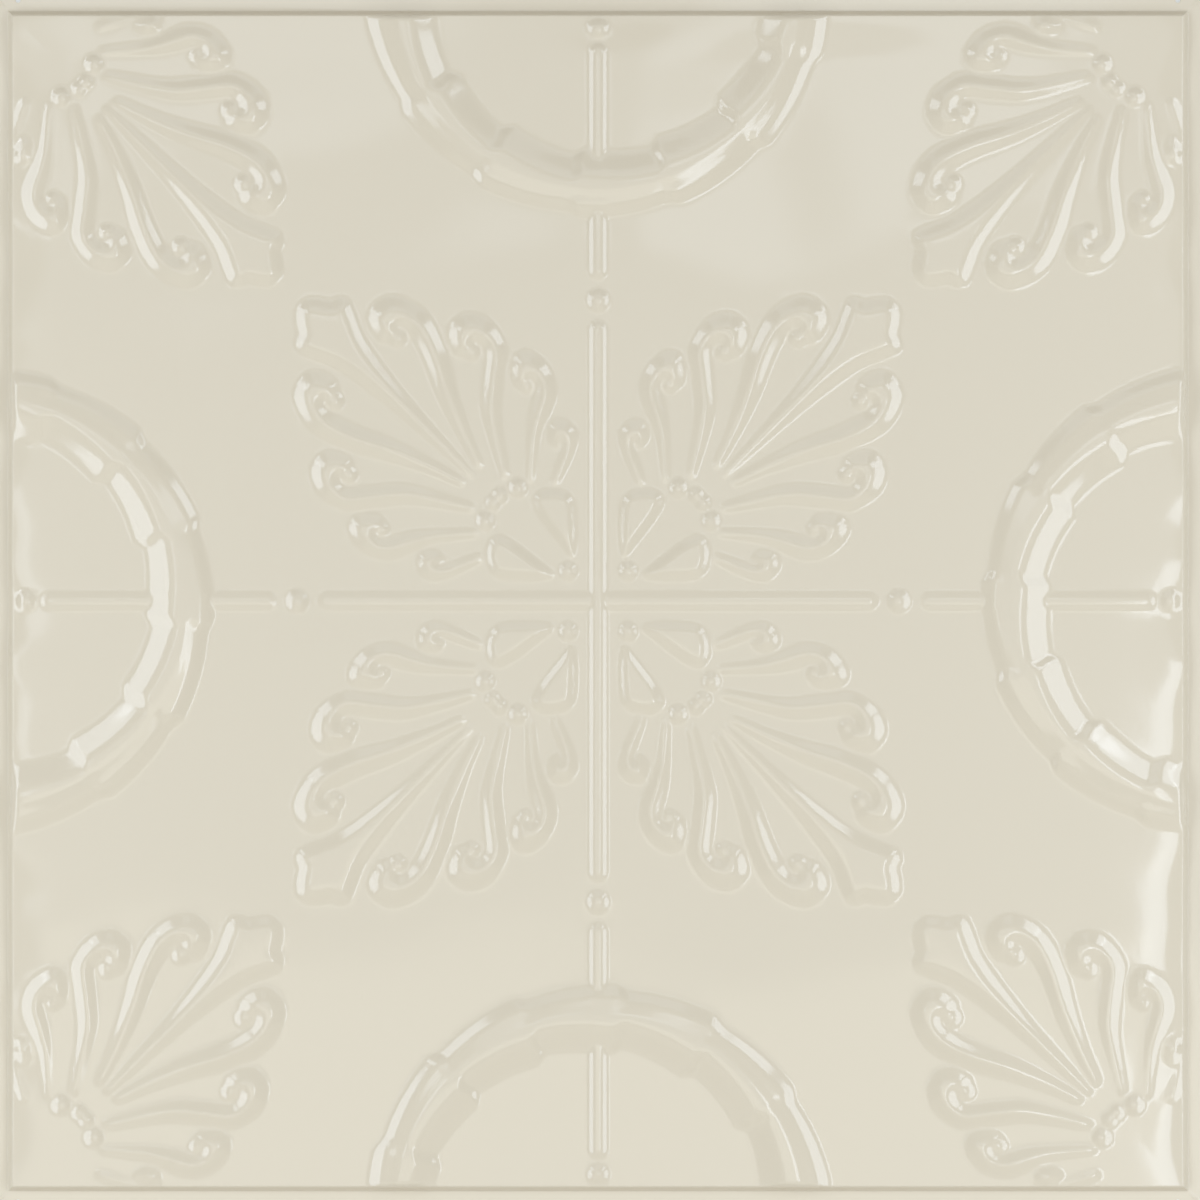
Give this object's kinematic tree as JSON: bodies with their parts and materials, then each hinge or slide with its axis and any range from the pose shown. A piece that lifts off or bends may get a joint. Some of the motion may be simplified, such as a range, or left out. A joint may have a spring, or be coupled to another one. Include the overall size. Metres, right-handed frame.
{
  "type": "pressed tin ceiling tile",
  "caption": "Square pressed steel ceiling tile with a flat flange, a raised field of palmettes and husk rings, and half-round beads on both centre lines.",
  "frame": {"origin": "centre of the tile at the underside of its flange", "axes": "+Z out of the pressed face, +X to the right and +Y to the top of the face as pictured"},
  "size_m": [0.6032, 0.6032, 0.0104],
  "materials": {
    "cream_enamel": "gloss"
  },
  "bodies": {
    "root": {"ceiling_tile": "cream_enamel"}
  },
  "joints": []
}
